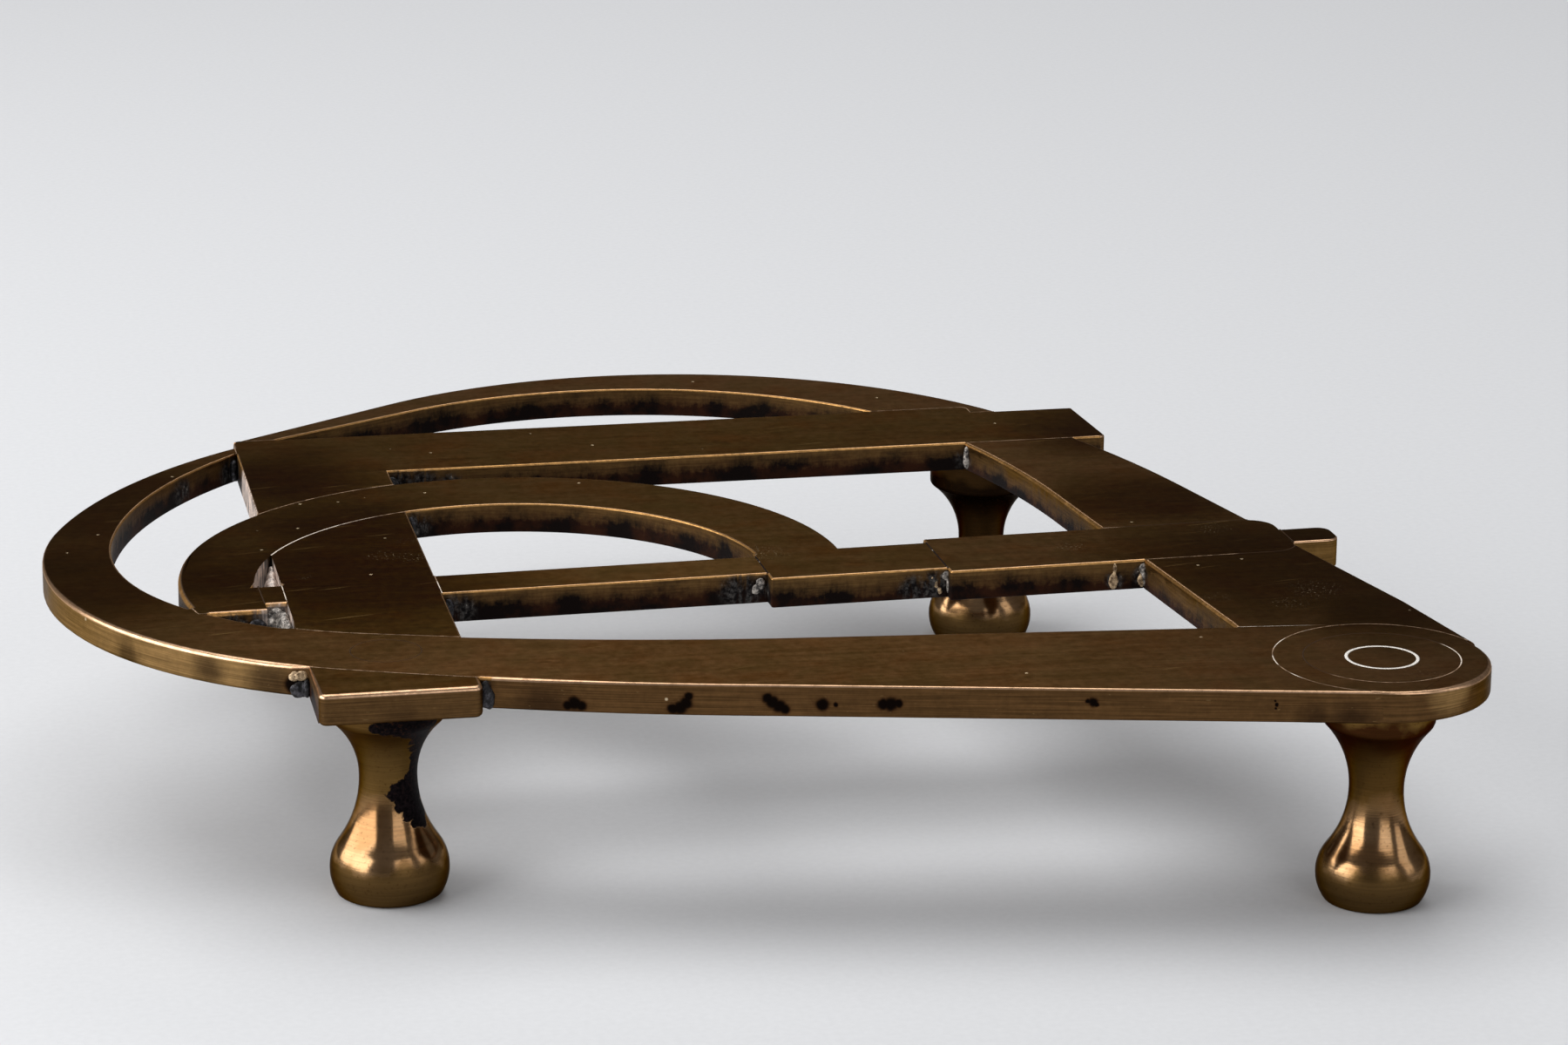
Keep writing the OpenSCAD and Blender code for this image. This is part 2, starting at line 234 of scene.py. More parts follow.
# Walls wiped with tin, pale and slightly pink
TINNED_SPOTS = [
    (-70.0, 27.0, 36.4, 5.0), (-70.0, 34.0, 36.4, 5.5), (-70.0, 41.0, 36.4, 5.5), (-70.0, 47.0, 35.6, 4.0),
    (-70.0, -31.5, 36.0, 5.0), (-72.4, -11.5, 36.4, 6.0), (-71.0, -6.0, 36.4, 3.6), (-70.0, -12.0, 36.4, 4.0),
    (-71.6, -26.8, 36.4, 2.2), (-90.5, -3.0, 35.6, 4.0),
]

# Inner walls that stay golden further down, with less painted shade
GOLDEN_SPOTS = [
    (20.0, -26.0, 37.4, 11.0), (72.0, -46.0, 37.0, 20.0), (66.0, -14.0, 37.0, 8.0),
    (62.0, 14.0, 37.0, 20.0), (60.0, 34.0, 37.4, 12.0), (22.0, -15.0, 36.6, 6.0),
]

# Tarry residue that ran down the front foot from the soldered collar: turn in degrees from the
# front towards the right, then distance from the foot's axis, height and radius in mm
TAR_RUN = [
    (-17, 9.1, 29.5, 1.2), (-8, 9.1, 29.3, 1.5), (2, 9.1, 29.2, 1.7), (12, 9.1, 29.0, 1.8),
    (22, 9.1, 29.0, 1.9), (32, 9.1, 29.2, 1.8), (40, 9.1, 29.4, 1.6), (16, 8.0, 27.8, 1.1),
    (26, 8.0, 27.6, 1.4), (36, 7.8, 27.4, 1.5), (32, 6.8, 26.3, 1.2), (46, 6.8, 26.3, 1.4),
    (38, 5.9, 24.8, 1.1), (54, 5.9, 24.8, 1.3), (44, 5.1, 23.0, 1.0), (62, 5.1, 23.0, 1.3),
    (46, 4.7, 21.2, 1.1), (64, 4.7, 21.2, 1.3), (42, 4.5, 19.6, 1.2), (62, 4.5, 19.6, 1.3),
    (6, 4.5, 18.2, 0.9), (24, 4.5, 18.5, 1.2), (46, 4.5, 18.3, 1.5), (68, 4.5, 18.3, 1.4),
    (2, 4.6, 17.0, 1.0), (20, 4.6, 16.9, 1.4), (42, 4.6, 16.8, 1.6), (64, 4.6, 16.8, 1.5),
    (14, 4.9, 15.4, 1.0), (32, 4.9, 15.3, 1.6), (52, 4.9, 15.2, 1.7), (30, 5.2, 13.9, 1.2),
    (46, 5.2, 13.8, 1.6), (64, 5.2, 13.8, 1.6), (40, 5.7, 12.6, 0.9), (54, 5.7, 12.4, 1.4),
]
TAR_SPOTS = [
    (
        FRONT_FOOT.x / MM + from_axis * math.sin(math.radians(turn)),
        FRONT_FOOT.y / MM - from_axis * math.cos(math.radians(turn)),
        height, radius,
    )
    for turn, from_axis, height, radius in TAR_RUN
]

# Seams that catch the light
BRIGHT_SEAMS = [
    (-70.0, -19.4, 38.8, 2.0), (-70.0, -23.4, 38.8, 2.0), (-68.0, 2.0, 38.8, 5.0),
    (-63.0, 6.5, 38.8, 5.0), (-57.0, 9.6, 38.8, 5.0), (-51.0, 11.5, 38.8, 5.0),
    (-45.8, 12.6, 38.8, 3.0), (-44.8, -22.0, 38.8, 2.0), (-44.8, -25.5, 38.8, 1.6),
    (76.0, -65.2, 38.8, 3.0), (81.0, -66.0, 38.8, 3.0), (101.8, -84.5, 38.8, 5.0),
    (75.0, -73.0, 38.8, 3.0), (73.4, -82.0, 38.8, 2.2), (74.0, -90.0, 38.8, 1.4),
]

# Seams blackened by flux, at both ends of the tang
BLACK_SEAMS = [
    (7.0, -16.0, 38.8, 3.4), (6.9, -21.0, 38.8, 3.4), (6.8, -25.0, 38.8, 2.4),
    (35.4, -12.0, 38.8, 3.4), (35.5, -17.0, 38.8, 3.4), (35.6, -22.0, 38.8, 3.4), (35.8, -27.0, 38.8, 3.4),
]

# Seams filed out of sight: round the front foot's tenon, at the saw's heel, on both sides and at the end of
# its handle, and round the far half of the joint's washer
WASHER_RADIUS = 11.9
HIDDEN_SEAMS = [(-57.8, -53.6, 38.8, 7.8)]
HIDDEN_SEAMS += [(-73.6, y, 38.8, 1.8) for y in (-26, -23.5, -21, -18.5, -16)]
HIDDEN_SEAMS += [(x, -10.4, 38.8, 2.8) for x in (72, 76, 80, 84, 88, 92)]
HIDDEN_SEAMS += [(x, -28.6 + 0.024 * (x - 68), 38.8, 2.4) for x in (86, 89, 92)]
HIDDEN_SEAMS += [(94.6, y, 38.8, 2.6) for y in (-26, -22, -18, -14)]
HIDDEN_SEAMS += [
    (JOINT.x / MM + WASHER_RADIUS * math.cos(turn), JOINT.y / MM + WASHER_RADIUS * math.sin(turn), 38.8, 2.3)
    for turn in map(math.radians, range(34, 214, 12))
]


# Finishes

def plate_brass(name, deep, warm, wall_deep, wall_warm, seed):
    """Yellow brass sheet, hand-filed and linished flush, brown from decades of handling.

    Its top has long fine lines, a soft mottled patina with patches of painted shade, and small bright nicks.
    Its walls keep level file marks and are painted paler where the light from the left falls on the bow, and
    its worn edges show the bright metal."""
    material, tree = new_material(name)
    where = add(tree, "TexCoord", {})
    real = where.outputs["Object"]
    lean = add(tree, "SeparateXYZ", {0: where.outputs["Normal"]}).outputs["Z"]
    place = add(tree, "VectorMath", {0: real, 1: [seed, 0, 0]}, operation="ADD")
    on_top = add(tree, "MapRange", {0: lean, 1: 0.8, 2: 0.97})
    above = add(tree, "MapRange", {0: lean, 1: 0.04, 2: 0.3})
    below = add(tree, "MapRange", {0: lean, 1: 0.995, 2: 0.9})
    edge = add(tree, "Math", {0: above, 1: below}, operation="MULTIPLY")

    # Linishing lines along the long arm, 0.3 mm apart, and level file marks on the walls, 0.2 mm apart
    drawn = add(tree, "Mapping", {
        "Vector": place, "Rotation": [0, 0, math.radians(-3)], "Scale": [40, 1, 1],
    }, vector_type="TEXTURE")
    level = add(tree, "Mapping", {"Vector": place, "Scale": [60, 60, 1]}, vector_type="TEXTURE")
    lines = add(tree, "TexNoise", {"Vector": drawn, "Scale": per(0.3), "Detail": 3.0, "Roughness": 0.6})
    bands = add(tree, "TexNoise", {"Vector": drawn, "Scale": per(2.4), "Detail": 4.0, "Roughness": 0.6})
    marks = add(tree, "TexNoise", {"Vector": level, "Scale": per(0.2), "Detail": 1.0, "Roughness": 0.5})
    clouds = add(tree, "TexNoise", {"Vector": place, "Scale": per(15), "Detail": 5.0, "Roughness": 0.55})
    mottle = add(tree, "TexNoise", {"Vector": place, "Scale": per(1.4), "Detail": 6.0, "Roughness": 0.7})
    grain = add(tree, "Mix", {0: on_top, 2: marks, 3: lines}, data_type="FLOAT")

    # Patina of the top: browner and yellower clouds, broken up by the grain
    streaked = add(tree, "Math", {0: bands, 1: clouds}, operation="ADD")
    patchy = add(tree, "Math", {0: streaked, 1: mottle}, operation="ADD")
    yellower = add(tree, "MapRange", {0: patchy, 1: 1.2, 2: 1.8})
    top = add(tree, "Mix", {0: yellower, 6: srgb(deep), 7: srgb(warm)}, data_type="RGBA")
    drifts = add(tree, "TexNoise", {"Vector": place, "Scale": per(7), "Detail": 3.0})
    olive = add(tree, "MapRange", {0: drifts, 1: 0.42, 2: 0.64, 3: 0.0, 4: 0.3})
    top = add(tree, "Mix", {0: olive, 6: top, 7: srgb("#453b26")}, data_type="RGBA")
    reddish = add(tree, "MapRange", {0: drifts, 1: 0.46, 2: 0.3, 3: 0.0, 4: 0.35})
    top = add(tree, "Mix", {0: reddish, 6: top, 7: srgb("#4c311d")}, data_type="RGBA")
    # Painted shade, partly patina: patches that darken the top towards deep brown
    shaded = near_spots(tree, ragged(tree, real, 20, 8), PATINA_AND_SHADE_PATCHES, 0.6)
    shaded = add(tree, "Math", {0: shaded, 1: 0.72}, operation="MULTIPLY")
    top = add(tree, "Mix", {0: shaded, 6: top, 7: srgb("#261c12")}, data_type="RGBA")

    # Patina of the walls: golden, with brown in the file marks and a few smudges
    filed = add(tree, "MapRange", {0: marks, 1: -0.1, 2: 0.95})
    wall = add(tree, "Mix", {0: filed, 6: srgb(wall_deep), 7: srgb(wall_warm)}, data_type="RGBA")
    # Painted highlight, partly wear: the wall is paler where the light from the left falls on the bow, and
    # below the joint's top edge
    pale = near_spots(tree, ragged(tree, real, 6, 2), PAINTED_LIGHT_AND_WEAR_SPOTS, 0.5)
    worn = add(tree, "Mix", {0: filed, 6: srgb("#6e5433"), 7: srgb("#97774b")}, data_type="RGBA")
    wall = add(tree, "Mix", {0: pale, 6: wall, 7: worn}, data_type="RGBA")
    smudged = near_spots(tree, ragged(tree, real, 3, 1.4), SMUDGE_SPOTS, 0.7)
    smudged = add(tree, "Math", {0: smudged, 1: 0.7}, operation="MULTIPLY")
    wall = add(tree, "Mix", {0: smudged, 6: wall, 7: srgb("#2a1c12")}, data_type="RGBA")
    base = add(tree, "Mix", {0: on_top, 6: wall, 7: top}, data_type="RGBA")
    fine_tone = add(tree, "MapRange", {0: grain, 1: 0.3, 2: 0.7, 3: 0.82, 4: 1.18})
    soft_tone = add(tree, "MapRange", {0: mottle, 1: 0.3, 2: 0.7, 3: 0.84, 4: 1.16})
    tone = add(tree, "Math", {0: fine_tone, 1: soft_tone}, operation="MULTIPLY")
    base = add(tree, "VectorMath", {0: base, "Scale": tone}, operation="SCALE")

    # Edges rubbed down to bright, coppery metal, here and there less so
    uneven = add(tree, "MapRange", {0: mottle, 1: 0.3, 2: 0.55, 3: 0.5, 4: 1.0})
    bright = add(tree, "Math", {0: edge, 1: uneven}, operation="MULTIPLY")
    base = add(tree, "Mix", {0: bright, 6: base, 7: srgb("#d9b08c")}, data_type="RGBA")

    # Bright nicks: single ones 6 mm apart, and clusters, 0.5 mm across so that they show at a low angle
    cells = add(tree, "TexVoronoi", {"Vector": place, "Scale": per(6)})
    tiny = add(tree, "MapRange", {0: cells, 1: 0.056, 2: 0.03})
    pick = add(tree, "SeparateColor", {0: cells.outputs["Color"]})
    chosen = add(tree, "Math", {0: pick, 1: 0.45}, operation="GREATER_THAN")
    single = add(tree, "Math", {0: tiny, 1: chosen}, operation="MULTIPLY")
    crumbs = add(tree, "TexNoise", {"Vector": place, "Scale": per(0.4), "Detail": 2.0})
    crumbs = add(tree, "MapRange", {0: crumbs, 1: 0.62, 2: 0.72, 4: 0.5})
    clusters = near_spots(tree, real, NICKED_SPOTS, 0.5)
    clustered = add(tree, "Math", {0: clusters, 1: crumbs}, operation="MULTIPLY")
    nicks = add(tree, "Math", {0: single, 1: clustered}, operation="MAXIMUM")
    base = add(tree, "Mix", {0: nicks, 6: base, 7: srgb("#c9b595")}, data_type="RGBA")

    # Scratches from pots that were slid about
    slid = add(tree, "Mapping", {
        "Vector": place, "Rotation": [0, 0, math.radians(12)], "Scale": [30, 1, 1],
    }, vector_type="TEXTURE")
    slid = add(tree, "TexNoise", {"Vector": slid, "Scale": per(0.5), "Detail": 1.0})
    slid = add(tree, "MapRange", {0: slid, 1: 0.73, 2: 0.8, 3: 0.0, 4: 0.6})
    base = add(tree, "Mix", {0: slid, 6: base, 7: srgb("#7a6240")}, data_type="RGBA")

    # Oxide blotches, nearly black, with a brown rim
    frayed = ragged(tree, real, 1.2, 0.25)
    rimmed = near_spots(tree, frayed, OXIDE_SPOTS, 0.8)
    base = add(tree, "Mix", {0: rimmed, 6: base, 7: srgb("#3b2212")}, data_type="RGBA")
    stained = near_spots(tree, frayed, OXIDE_SPOTS, 0.35)
    base = add(tree, "Mix", {0: stained, 6: base, 7: srgb("#120c09")}, data_type="RGBA")

    rough = add(tree, "MapRange", {0: patchy, 1: 1.2, 2: 1.85, 3: 0.42, 4: 0.32})
    rough = add(tree, "Mix", {0: bright, 2: rough, 3: 0.28}, data_type="FLOAT")
    rough = add(tree, "Mix", {0: stained, 2: rough, 3: 0.65}, data_type="FLOAT")
    fine = add(tree, "Bump", {"Strength": 0.3, "Distance": 0.03 * MM, "Height": grain})
    waves = add(tree, "Bump", {"Strength": 0.5, "Distance": 0.2 * MM, "Height": clouds, "Normal": fine})
    rim = add(tree, "Mix", {0: on_top, 6: srgb("#b6b0a8"), 7: srgb("#acacac")}, data_type="RGBA")
    shader = add(tree, "BsdfPrincipled", {
        "Base Color": base, "Metallic": 1.0, "Roughness": rough, "Specular Tint": rim, "Normal": waves,
    })
    add(tree, "OutputMaterial", {"Surface": shader})
    return material


def oxide_and_shade_brass(name, seed):
    """Inner walls that no cloth reaches: plum-black oxide, with painted shade that darkens them towards the
    underside where the facing piece shades them, and golden along the upper edge, rubbed and painted as lit.

    Flux lies black on them beside the soldered corners, flecked with tin."""
    material, tree = new_material(name)
    where = add(tree, "TexCoord", {})
    real = where.outputs["Object"]
    place = add(tree, "VectorMath", {0: real, 1: [seed, 0, 0]}, operation="ADD")
    height = add(tree, "SeparateXYZ", {0: real}).outputs["Z"]
    lean = add(tree, "SeparateXYZ", {0: where.outputs["Normal"]}).outputs["Z"]
    level = add(tree, "Mapping", {"Vector": place, "Scale": [20, 20, 1]}, vector_type="TEXTURE")
    upright = add(tree, "Mapping", {"Vector": place, "Scale": [1, 1, 5]}, vector_type="TEXTURE")
    marks = add(tree, "TexNoise", {"Vector": level, "Scale": per(0.4), "Detail": 4.0, "Roughness": 0.65})
    streaks = add(tree, "TexNoise", {"Vector": upright, "Scale": per(0.8), "Detail": 4.0, "Roughness": 0.6})
    clouds = add(tree, "TexNoise", {"Vector": place, "Scale": per(6), "Detail": 6.0, "Roughness": 0.6})
    mottle = add(tree, "TexNoise", {"Vector": place, "Scale": per(0.9), "Detail": 6.0, "Roughness": 0.7})

    # Height on the wall, 0 at the plate's underside and 1 at its top, made uneven by the noise
    raised = add(tree, "MapRange", {0: height, 1: LEVEL_LOW, 2: LEVEL_TOP})
    for pattern, sway in ((clouds, 0.22), (streaks, 0.07), (mottle, 0.1)):
        swayed = add(tree, "MapRange", {0: pattern, 1: 0.3, 2: 0.7, 3: -sway, 4: sway})
        raised = add(tree, "Math", {0: raised, 1: swayed}, operation="ADD")
    golden = near_spots(tree, ragged(tree, real, 8, 3), GOLDEN_SPOTS, 0.5)
    golden = add(tree, "Math", {0: golden, 1: 0.2}, operation="MULTIPLY")
    raised = add(tree, "Math", {0: raised, 1: golden}, operation="ADD")
    # Painted shade, partly oxide: golden at the top of the wall, nearly black towards its underside, where
    # the facing piece shades it
    rubbed_and_lit = add(tree, "MapRange", {0: raised, 1: 0.42, 2: 1.1})
    rusty = add(tree, "MapRange", {0: clouds, 1: 0.44, 2: 0.6})
    oxide = add(tree, "Mix", {0: rusty, 6: srgb("#0f0908"), 7: srgb("#2b160c")}, data_type="RGBA")
    filed = add(tree, "MapRange", {0: marks, 1: 0.35, 2: 0.65})
    metal = add(tree, "Mix", {0: filed, 6: srgb("#5a4226"), 7: srgb("#775a35")}, data_type="RGBA")
    base = add(tree, "Mix", {0: rubbed_and_lit, 6: oxide, 7: metal}, data_type="RGBA")
    edge = add(tree, "MapRange", {0: lean, 1: 0.04, 2: 0.3})
    uneven = add(tree, "MapRange", {0: mottle, 1: 0.3, 2: 0.6, 3: 0.35, 4: 1.0})
    edge = add(tree, "Math", {0: edge, 1: uneven}, operation="MULTIPLY")
    base = add(tree, "Mix", {0: edge, 6: base, 7: srgb("#bb8d55")}, data_type="RGBA")

    # Flux and tin: black, with a few grey flecks
    fluxed = near_spots(tree, ragged(tree, real, 1.6, 0.9), SOLDER_SPOTS, 0.5)
    run_down = add(tree, "MapRange", {0: streaks, 1: 0.36, 2: 0.5})
    fluxed = add(tree, "Math", {0: fluxed, 1: run_down}, operation="MULTIPLY")
    ashy = add(tree, "MapRange", {0: mottle, 1: 0.44, 2: 0.62})
    crust = add(tree, "Mix", {0: ashy, 6: srgb("#100e0f"), 7: srgb("#4b4846")}, data_type="RGBA")
    flecks = add(tree, "MapRange", {0: mottle, 1: 0.64, 2: 0.68})
    crust = add(tree, "Mix", {0: flecks, 6: crust, 7: srgb("#a8a39b")}, data_type="RGBA")
    base = add(tree, "Mix", {0: fluxed, 6: base, 7: crust}, data_type="RGBA")
    wiped = near_spots(tree, ragged(tree, real, 2.0, 1.0), TINNED_SPOTS, 0.3)
    run_over = add(tree, "MapRange", {0: streaks, 1: 0.32, 2: 0.5, 3: 0.4, 4: 1.0})
    wiped = add(tree, "Math", {0: wiped, 1: run_over}, operation="MULTIPLY")
    bluish = add(tree, "MapRange", {0: streaks, 1: 0.42, 2: 0.56})
    tin = add(tree, "Mix", {0: bluish, 6: srgb("#84807f"), 7: srgb("#d3bdae")}, data_type="RGBA")
    base = add(tree, "Mix", {0: wiped, 6: base, 7: tin}, data_type="RGBA")

    shiny = add(tree, "Math", {0: rubbed_and_lit, 1: edge}, operation="MAXIMUM")
    half_wiped = add(tree, "Math", {0: wiped, 1: 0.5}, operation="MULTIPLY")
    shiny = add(tree, "Math", {0: shiny, 1: half_wiped}, operation="SUBTRACT", use_clamp=True)
    rough = add(tree, "MapRange", {0: shiny, 1: 0.0, 2: 1.0, 3: 0.6, 4: 0.34})
    relief = add(tree, "Math", {0: marks, 1: mottle}, operation="ADD")
    bump = add(tree, "Bump", {"Strength": 0.5, "Distance": 0.06 * MM, "Height": relief})
    shader = add(tree, "BsdfPrincipled", {
        "Base Color": base, "Metallic": shiny, "Roughness": rough, "Specular IOR Level": 0.08,
        "Specular Tint": srgb("#b0aaa4"), "Normal": bump,
    })
    add(tree, "OutputMaterial", {"Surface": shader})
    return material


def turned_brass(name, neck, throat, collar, tar_spots=()):
    """Cast brass turned on a lathe: bulb polished by handling, satin neck with fine rings, browner above."""
    material, tree = new_material(name)
    place = add(tree, "TexCoord", {}).outputs["Object"]
    height = add(tree, "SeparateXYZ", {0: place}).outputs["Z"]
    level = add(tree, "Mapping", {"Vector": place, "Scale": [50, 50, 1]}, vector_type="TEXTURE")
    rings = add(tree, "TexNoise", {"Vector": level, "Scale": per(0.3), "Detail": 3.0, "Roughness": 0.6})
    clouds = add(tree, "TexNoise", {"Vector": place, "Scale": per(5), "Detail": 5.0})
    mottle = add(tree, "TexNoise", {"Vector": place, "Scale": per(0.5), "Detail": 5.0, "Roughness": 0.7})
    wander = add(tree, "MapRange", {0: clouds, 1: 0.3, 2: 0.7, 3: -1.4 * MM, 4: 1.4 * MM})
    uneven = add(tree, "Math", {0: height, 1: wander}, operation="ADD")

    # From the bulb's polished middle down to its dull foot, and up to the brown neck and collar
    cloudy = add(tree, "MapRange", {0: clouds, 1: 0.38, 2: 0.62})
    base = add(tree, "Mix", {0: cloudy, 6: srgb("#8a6744"), 7: srgb("#a2805c")}, data_type="RGBA")
    dull = add(tree, "MapRange", {0: uneven, 1: 7.6 * MM, 2: 5.6 * MM})
    base = add(tree, "Mix", {0: dull, 6: base, 7: srgb("#5f4829")}, data_type="RGBA")
    risen = add(tree, "MapRange", {0: uneven, 1: 13 * MM, 2: 18 * MM})
    base = add(tree, "Mix", {0: risen, 6: base, 7: srgb(neck)}, data_type="RGBA")
    under = add(tree, "MapRange", {0: uneven, 1: 23 * MM, 2: 27 * MM})
    base = add(tree, "Mix", {0: under, 6: base, 7: srgb(throat)}, data_type="RGBA")
    flared = add(tree, "MapRange", {0: uneven, 1: 29.6 * MM, 2: 31.2 * MM})
    base = add(tree, "Mix", {0: flared, 6: base, 7: srgb(collar)}, data_type="RGBA")
    ringed = add(tree, "MapRange", {0: rings, 1: 0.3, 2: 0.7, 3: 0.84, 4: 1.16})
    base = add(tree, "VectorMath", {0: base, "Scale": ringed}, operation="SCALE")

    # Pinholes of the casting, and specks where the polish has dulled
    pinholes = add(tree, "MapRange", {0: mottle, 1: 0.58, 2: 0.68, 3: 0.0, 4: 0.7})
    base = add(tree, "Mix", {0: pinholes, 6: base, 7: srgb("#40290f")}, data_type="RGBA")

    rough = add(tree, "Mix", {0: risen, 2: 0.16, 3: 0.3}, data_type="FLOAT")
    rough = add(tree, "Mix", {0: dull, 2: rough, 3: 0.34}, data_type="FLOAT")
    rough = add(tree, "Mix", {0: under, 2: rough, 3: 0.42}, data_type="FLOAT")
    metallic = 1.0
    relief = rings

    # Tar: a matt, blistered black crust with rust-brown specks higher up
    if tar_spots:
        tar = near_spots(tree, ragged(tree, place, 1.3, 1.1), tar_spots, 0.1)
        lumpy = add(tree, "MapRange", {0: mottle, 1: 0.4, 2: 0.62})
        pitch = add(tree, "Mix", {0: lumpy, 6: srgb("#070506"), 7: srgb("#191315")}, data_type="RGBA")
        rusty = add(tree, "MapRange", {0: height, 1: 15 * MM, 2: 24 * MM})
        specks = add(tree, "MapRange", {0: mottle, 1: 0.56, 2: 0.64})
        rusty = add(tree, "Math", {0: rusty, 1: specks}, operation="MULTIPLY")
        pitch = add(tree, "Mix", {0: rusty, 6: pitch, 7: srgb("#331c0e")}, data_type="RGBA")
        base = add(tree, "Mix", {0: tar, 6: base, 7: pitch}, data_type="RGBA")
        rough = add(tree, "Mix", {0: tar, 2: rough, 3: 0.55}, data_type="FLOAT")
        metallic = add(tree, "Mix", {0: tar, 2: 1.0, 3: 0.0}, data_type="FLOAT")
        blistered = add(tree, "Math", {0: mottle, 1: 5.0}, operation="MULTIPLY")
        relief = add(tree, "Mix", {0: tar, 2: rings, 3: blistered}, data_type="FLOAT")
    bump = add(tree, "Bump", {"Strength": 0.3, "Distance": 0.04 * MM, "Height": relief})
    shader = add(tree, "BsdfPrincipled", {
        "Base Color": base, "Metallic": metallic, "Roughness": rough, "Specular Tint": srgb("#a39d97"),
        "Specular IOR Level": 0.04, "Normal": bump,
    })
    add(tree, "OutputMaterial", {"Surface": shader})
    return material


def soft_solder(name, dull, shine, share=0.5):
    """Solder run by a soldering iron: blistered, bright where it wet the brass, dull with flux elsewhere."""
    material, tree = new_material(name)
    place = add(tree, "TexCoord", {}).outputs["Object"]
    lumps = add(tree, "TexNoise", {"Vector": place, "Scale": per(0.7), "Detail": 6.0, "Roughness": 0.7})
    wet = add(tree, "MapRange", {0: lumps, 1: share - 0.1, 2: share + 0.1})
    base = add(tree, "Mix", {0: wet, 6: srgb(dull), 7: srgb(shine)}, data_type="RGBA")
    bump = add(tree, "Bump", {"Strength": 0.6, "Distance": 0.12 * MM, "Height": lumps})
    shader = add(tree, "BsdfPrincipled", {
        "Base Color": base, "Metallic": 0.5, "Roughness": 0.45, "Normal": bump,
    })
    add(tree, "OutputMaterial", {"Surface": shader})
    return material


def seam_solder(name, dull, light):
    """Hair-thin solder in the laps, filed flush: pinkish and broken, bright here, out of sight there."""
    material, tree = new_material(name)
    place = add(tree, "TexCoord", {}).outputs["Object"]
    broken = add(tree, "TexNoise", {"Vector": place, "Scale": per(1.4), "Detail": 4.0, "Roughness": 0.65})
    patchy = add(tree, "MapRange", {0: broken, 1: 0.4, 2: 0.6})
    base = add(tree, "Mix", {0: patchy, 6: srgb(dull), 7: srgb(light)}, data_type="RGBA")
    whole = add(tree, "MapRange", {0: broken, 1: 0.3, 2: 0.45})
    shown = near_spots(tree, place, BRIGHT_SEAMS, 0.3)
    shown = add(tree, "Math", {0: shown, 1: whole}, operation="MULTIPLY")
    base = add(tree, "Mix", {0: shown, 6: base, 7: srgb("#ddd0c2")}, data_type="RGBA")
    specks = add(tree, "MapRange", {0: broken, 1: 0.6, 2: 0.66})
    black = add(tree, "Mix", {0: specks, 6: srgb("#140d10"), 7: srgb("#a59a92")}, data_type="RGBA")
    blackened = near_spots(tree, place, BLACK_SEAMS, 0.2)
    base = add(tree, "Mix", {0: blackened, 6: base, 7: black}, data_type="RGBA")
    filed = near_spots(tree, place, HIDDEN_SEAMS, 0.3)
    base = add(tree, "Mix", {0: filed, 6: base, 7: srgb("#38281a")}, data_type="RGBA")
    shader = add(tree, "BsdfPrincipled", {
        "Base Color": base, "Metallic": 0.25, "Roughness": 0.6, "Specular IOR Level": 0.05,
        "Specular Tint": srgb("#acacac"),
    })
    add(tree, "OutputMaterial", {"Surface": shader})
    return material


# Solids of the frame, to tell which faces other pieces cover

def search_tree(solid):
    """Search tree over the faces of one of the frame's nodes."""
    points = [v.co.copy() for v in solid.data.vertices]
    return BVHTree.FromPolygons(points, [list(p.vertices) for p in solid.data.polygons])


SOLIDS = [search_tree(solid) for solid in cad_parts.values()]
PROBE = Vector((0.31, 0.17, 0.93)).normalized()


def filled(point):
    """True inside a solid: the first of its faces met from there is met from behind."""
    for solid in SOLIDS:
        hit, normal, _, _ = solid.ray_cast(point, PROBE)
        if hit is not None and normal.dot(PROBE) > 0:
            return True
    return False


def open_edge(point, normals):
    """True where both faces beside an edge are bare there."""
    across = (normals[0] - normals[1]) * REACH
    return not filled(point + across) and not filled(point - across)


def middle_of(edge):
    """Point halfway along an edge."""
    return (edge.verts[0].co + edge.verts[1].co) / 2


def corner_edges(shape):
    """Edges where two faces meet in an outward corner."""
    return [e for e in shape.edges if e.is_manifold and e.calc_face_angle_signed(0) > SHARPEST_CURVE]


def cover_changes(shape):
    """Places (point, direction) along the upper edges where a covering piece starts or ends."""
    changes = []
    for edge in corner_edges(shape):
        start, end = (v.co for v in edge.verts)
        if min(start.z, end.z) < LEVEL_TOP - REACH:
            continue
        normals = [f.normal for f in edge.link_faces]
        length = (end - start).length
        count = max(1, round(length / COVER_STEP))
        points = [start.lerp(end, (k + 0.5) / count) for k in range(count)]
        states = [open_edge(p, normals) for p in points]
        for k in range(count - 1):
            if states[k] == states[k + 1]:
                continue
            low, high = points[k], points[k + 1]
            while (high - low).length > COVER_END:
                middle = (low + high) / 2
                if open_edge(middle, normals) == states[k]:
                    low = middle
                else:
                    high = middle
            changes.append((low.copy(), (end - start).normalized()))
    return changes


# Dressed plates and feet

def copy_of(name):
    """Copy of a CAD node as one clean shell, in edit mode."""
    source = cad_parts[name]
    piece = bpy.data.objects.new(name + "_brass", source.data.copy())
    bpy.context.scene.collection.objects.link(piece)
    piece.data.materials.clear()
    alone(piece)
    bpy.ops.object.mode_set(mode="EDIT")
    bpy.ops.mesh.select_all(action="SELECT")
    bpy.ops.mesh.remove_doubles(threshold=SAME_POINT)
    bpy.ops.mesh.customdata_custom_splitnormals_clear()
    bpy.ops.mesh.dissolve_limited(angle_limit=SAME_FACE)
    return piece


def select_edges(piece, edges_wanted):
    """Selects the edges of a shape in edit mode that a test picks, and nothing else."""
    bpy.ops.mesh.select_all(action="DESELECT")
    bpy.ops.mesh.select_mode(type="EDGE")
    shape = bmesh.from_edit_mesh(piece.data)
    picked = edges_wanted(shape)
    for edge in picked:
        edge.select_set(True)
    bmesh.update_edit_mesh(piece.data)
    return len(picked)


